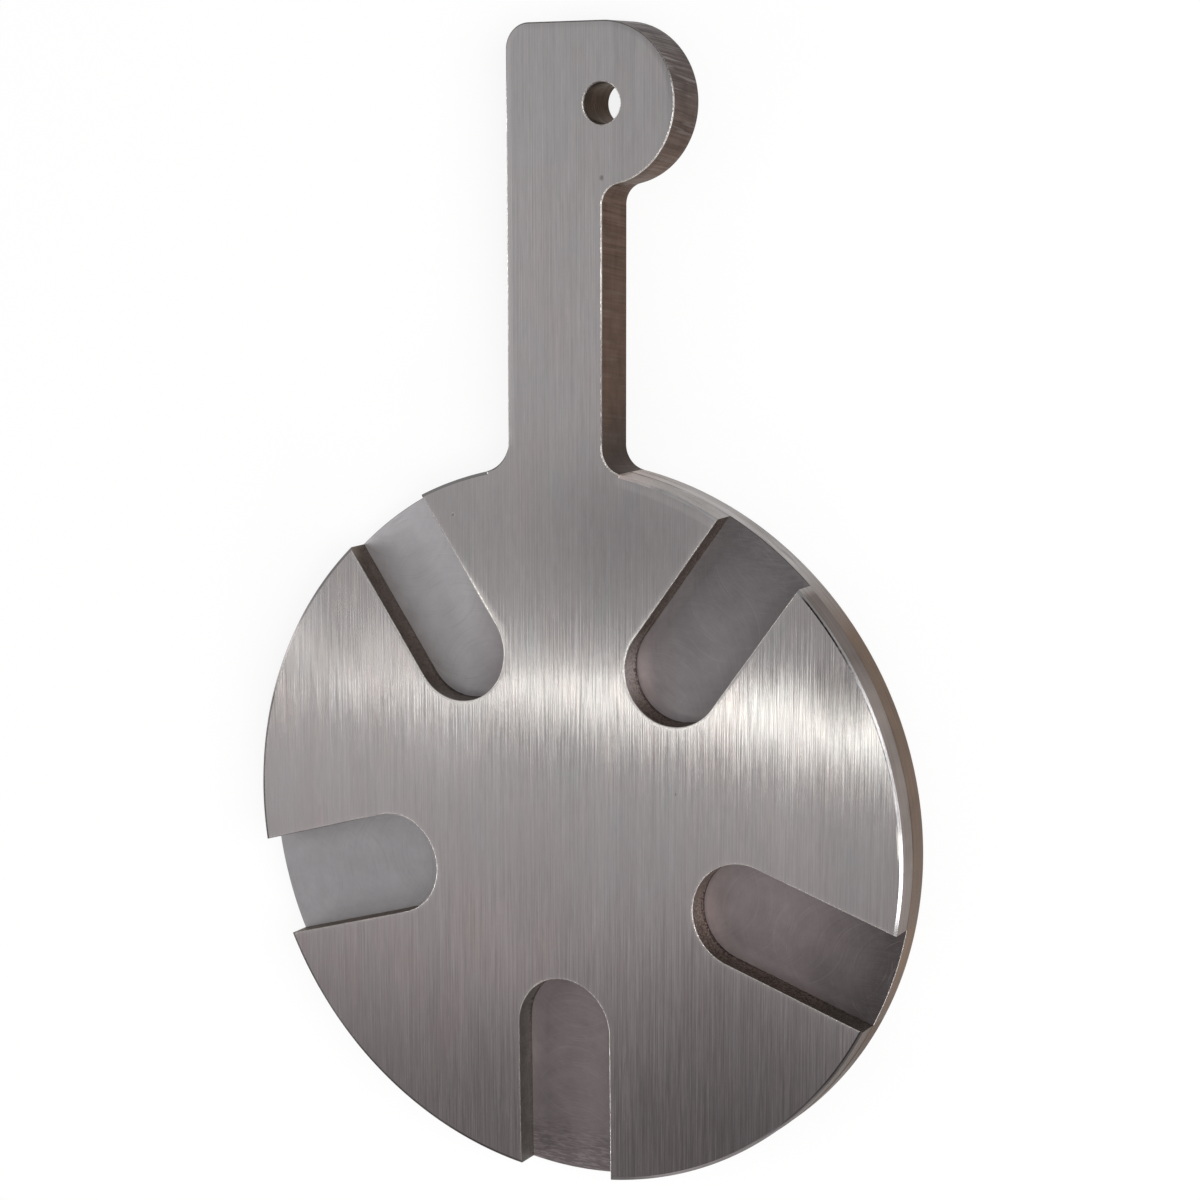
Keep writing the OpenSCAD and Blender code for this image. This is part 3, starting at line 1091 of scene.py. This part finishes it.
def cut_edge(groups):
    """Handle's flame-cut edges: ribs that lag down the cut, brown below the head and grey round it."""
    material, tree, shader, place = steel("cut_edge", CUT_TINT)
    grain = grain_map(tree)
    around, up = axes_of(tree, grain)[:2]
    y = axes_of(tree, place)[1]
    path = place_at(tree, calc(tree, "MULTIPLY_ADD", up, -RIB_LAG, around), up, 0.0)
    ribbed = ramp(tree, y, 118, 150, 0.22, 1.0)
    ribs = swing(tree, drawn(tree, groups, path, (0.75, 34, 1), 2.0, 2.8), ribbed)
    deep = swing(tree, drawn(tree, groups, path, (2.3, 44, 1), 2.0, 2.6), ribbed)
    along = drawn(tree, groups, grain, (26, 2.2, 1), 2.0, 1.8)
    patches = drawn(tree, groups, place, (6, 6, 6), 3.0, 1.7)
    crests = spread(tree, drawn(tree, groups, path, (0.95, 18, 1), 1.0, 3.0), 0.76, 0.95)
    tone = weigh(tree, (ribs, 0.32), (deep, 0.20), (along, 0.16), (patches, 0.32))
    grey = ramp(tree, y, 158, 190)
    colour = blend(tree, tone, blend(tree, grey, CUT_BROWN_DARK, CUT_GREY_DARK),
                   blend(tree, grey, CUT_BROWN_LIGHT, CUT_GREY_LIGHT))
    colour = blend(tree, times(tree, crests, ramp(tree, y, 158, 182, 0.05, 0.42)), colour, CUT_CREST)
    burnt = ramp(tree, y, 106, 91, 0.0, 0.75)
    feed(tree, shader, "Base Color", blend(tree, burnt, colour, NEAR_BLACK))
    feed(tree, shader, "Roughness", spread(tree, tone, 0.3, 0.7, 0.56, 0.42))
    raise_surface(tree, shader, weigh(tree, (ribs, 0.09), (deep, 0.20)))
    return material


def shaded_edges(tree, x, y, at_mouth):
    """Share of grey on the broken edges, painted shade where they would catch the lamps: at the head's top,
    low on the shank and along some slots.
    """
    head = ramp(tree, y, 171, 180, 0.0, 0.9)
    low_shank = times(tree, ramp(tree, y, 92, 95), ramp(tree, y, 112, 128, 0.75, 0.0))
    bottom_left = times(tree, ramp(tree, y, -50, -45, 0.85, 0.0), ramp(tree, x, 4, 8, 1.0, 0.0))
    lower_side = times(tree, ramp(tree, x, -48, -44, 0.75, 0.0), ramp(tree, y, -26, -22, 1.0, 0.0))
    upper_left = times(tree, ramp(tree, y, 48, 60, 0.0, 0.85), ramp(tree, x, -10, 0, 1.0, 0.0),
                       ramp(tree, y, 88, 92, 1.0, 0.0))
    return most(tree, head, low_shank, bottom_left, lower_side, upper_left, at_mouth)


def dark_edges(tree, x, y, at_mouth):
    """Share of near-black on the broken edges: at the upper mouths, the left root and one slot's upper side.
    """
    upper_mouths = times(tree, at_mouth, ramp(tree, y, 10, 30, 0.0, 1.7))
    left_root = times(tree, ramp(tree, x, -16, -13, 0.85, 0.0), ramp(tree, y, 84, 86),
                      ramp(tree, y, 100, 108, 1.0, 0.0))
    upper_side = times(tree, ramp(tree, x, -62, -52, 0.8, 0.0), ramp(tree, y, -20, -16),
                       ramp(tree, y, 0, 6, 1.0, 0.0))
    return most(tree, upper_mouths, left_root, upper_side)


def broken_edge(groups):
    """Narrow bright flats and burrs where the sharp edges were taken off by hand."""
    material, tree, shader, place = steel("broken_edge")
    patches = drawn(tree, groups, place, (2.5, 2.5, 2.5), 3.0, 2.0)
    burrs = drawn(tree, groups, place, (0.5, 0.5, 0.5), 2.0, 3.5)
    # Painted glint on the edges where the burrs are
    bright = patches_on(tree, groups, place, BURR_GLINTS)
    x, y, z = axes_of(tree, place)
    at_mouth = spread(tree, z, SLOT_FLOOR_Z + 0.1 * MM, SLOT_FLOOR_Z + 0.3 * MM, 0.5, 0.0)
    tone = weigh(tree, (patches, 0.45), (burrs, 0.55), (bright, 0.4))
    colour = blend(tree, tone, EDGE_DARK, EDGE_LIGHT)
    # Painted shade: grey on edges that would otherwise catch the lamps
    colour = blend(tree, shaded_edges(tree, x, y, at_mouth), colour, CUT_GREY_LIGHT)
    feed(tree, shader, "Base Color", blend(tree, dark_edges(tree, x, y, at_mouth), colour, NEAR_BLACK))
    feed(tree, shader, "Roughness", spread(tree, tone, 0.2, 0.8, 0.50, 0.32))
    raise_surface(tree, shader, weigh(tree, (patches, 0.03), (burrs, 0.05)))
    return material


def eye_bore(groups):
    """Drilled hole: rings round it, browned."""
    material, tree, shader, place = steel("eye_bore", BORE_TINT)
    rings = drawn(tree, groups, grain_map(tree), (20, 0.35, 1), 2.0, 2.2)
    patches = drawn(tree, groups, place, (3, 3, 3), 2.0, 1.6)
    tone = weigh(tree, (rings, 0.5), (patches, 0.5))
    feed(tree, shader, "Base Color", blend(tree, tone, BORE_DARK, BORE_LIGHT))
    feed(tree, shader, "Roughness", spread(tree, tone, 0.3, 0.7, 0.45, 0.3))
    raise_surface(tree, shader, times(tree, rings, 0.03))
    return material


def make_materials():
    """All the finishes, by their names."""
    groups = {"lines": lines_group(), "scratches": scratch_group(),
              "patch": patch_group(), "slot": slot_group()}
    return {
        "brushed face": brushed_face(groups),
        "milled floor": milled_floor(groups),
        "slot wall": slot_wall(groups),
        "turned rim": turned_rim(groups, "turned_rim", RIM_TINT),
        # Two stretches of the rim with painted shade, by a darker mirror tint
        "mouth rim": turned_rim(groups, "mouth_rim", MOUTH_RIM_TINT, MOUTH_RIM_LIFT),
        "shaded rim": turned_rim(groups, "shaded_rim", SHADED_RIM_TINT, SHADED_RIM_LIFT),
        "cut edge": cut_edge(groups),
        "broken edge": broken_edge(groups),
        "eye bore": eye_bore(groups),
    }


# Floor, light and camera

def studio_floor():
    """White board that the plate lies on, near white to the camera and in the plate's mirror images."""
    clear_selection()
    bpy.ops.mesh.primitive_plane_add(size=BOARD_SIZE, location=(0, 0, 0))
    floor = bpy.context.object
    floor.name = "floor"
    material = bpy.data.materials.new("white board")
    material.use_nodes = True
    tree = material.node_tree
    shader = tree.nodes["Principled BSDF"]
    shader.inputs["Base Color"].default_value = (*BOARD_WHITE, 1)
    shader.inputs["Roughness"].default_value = BOARD_ROUGHNESS
    path = node(tree, "ShaderNodeLightPath").outputs
    seen = in_turn(tree, "ADD", (path["Is Camera Ray"], path["Is Glossy Ray"], path["Is Transmission Ray"]))
    glow = node(tree, "ShaderNodeEmission", {"Color": WHITE, "Strength": 1.0})
    both = node(tree, "ShaderNodeMixShader", {0: calc(tree, "MULTIPLY", seen, BOARD_GLOW, clamp=True),
                                              1: shader.outputs[0], 2: glow.outputs[0]})
    tree.links.new(both.outputs[0], tree.nodes["Material Output"].inputs["Surface"])
    floor.data.materials.append(material)


def soft_light(name, place, aim, width, height, strength, turn=0.0, tint=WHITE):
    """A flat soft lamp, given by the brightness of its face."""
    lamp = bpy.data.lights.new(name, "AREA")
    lamp.color = tint
    lamp.shape = "RECTANGLE"
    lamp.size = width
    lamp.size_y = height
    lamp.energy = strength * width * height * math.pi
    holder = bpy.data.objects.new(name, lamp)
    facing = (Vector(aim) - Vector(place)).to_track_quat("-Z", "Y")
    holder.location = place
    holder.rotation_euler = (facing @ Matrix.Rotation(math.radians(turn), 3, "Z").to_quaternion()).to_euler()
    bpy.context.collection.objects.link(holder)


def studio_world():
    """Grey room, whose light changes with how far it leans towards the handle and with its side."""
    world = bpy.data.worlds.new("studio")
    bpy.context.scene.world = world
    world.use_nodes = True
    tree = world.node_tree
    x, y, z = axes_of(tree, node(tree, "ShaderNodeTexCoord").outputs["Generated"])
    levels = node(tree, "ShaderNodeValToRGB", {0: spread(tree, bearing(tree, y, z), -90.0, 90.0)})
    stops = levels.color_ramp.elements
    for index, (degrees, level) in enumerate(ROOM_LEVELS):
        stop = stops[index] if index < 2 else stops.new(0.5)
        stop.position = (degrees + 90) / 180
        tint = LOW_TINT if degrees < LOW_ROOM_END else ROOM_TINT
        stop.color = (*(level * part for part in tint), 1)
    side = calc(tree, "DIVIDE", x, calc(tree, "MAXIMUM", z, 0.05))
    background = tree.nodes["Background"]
    feed(tree, background, "Color", levels.outputs[0])
    feed(tree, background, "Strength", spread(tree, side, *ROOM_SIDE_FADE))


def camera():
    """Camera at the photograph's viewing angle, with its up side kept square to its view."""
    back = (CAMERA_PLACE - CAMERA_AIM).normalized()
    right = CAMERA_UP.cross(back).normalized()
    up = back.cross(right)
    lens = bpy.data.cameras.new("camera")
    lens.sensor_width = 36
    lens.lens = CAMERA_LENS
    lens.shift_x, lens.shift_y = CAMERA_SHIFT
    lens.clip_start = 0.01
    holder = bpy.data.objects.new("camera", lens)
    holder.matrix_world = Matrix((
        (right.x, up.x, back.x, CAMERA_PLACE.x),
        (right.y, up.y, back.y, CAMERA_PLACE.y),
        (right.z, up.z, back.z, CAMERA_PLACE.z),
        (0, 0, 0, 1),
    ))
    bpy.context.collection.objects.link(holder)
    bpy.context.scene.camera = holder


bpy.context.scene.view_settings.view_transform = "Standard"
camera()
studio_floor()
studio_world()
soft_light("strip", (-0.75, -0.2907, 1.5), (-0.75, -0.1, 0), 3.2, 0.022, 1.55, -2.1, STRIP_TINT)
soft_light("strip_end", (-0.35, -0.3217, 1.5), (-0.35, -0.1, 0), 1.0, 0.018, 3.9, -3.75, STRIP_TINT)
soft_light("edge", (0.75, -1.25, 0.45), (0, 0.08, 0), 1.2, 0.4, 6)
soft_light("rim", (0.78, -0.43, 1.3), (0.06, 0, 0), 0.3, 0.38, 4.4)
soft_light("chamfer", (0.57, 0.12, 1.5), (0.08, 0.04, 0), 0.20, 0.18, 2.6)
soft_light("left", (-1.4, -0.40, 0.47), (0, 0, 0), 1.2, 0.42, 5)
soft_light("key", (1.5, 0.2, 1.3), (0, 0.05, 0), 1.2, 1.2, 6.5)

plate = blind_plate()
finish_plate(plate, make_materials())
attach(plate, "root")
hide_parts("blind_plate")
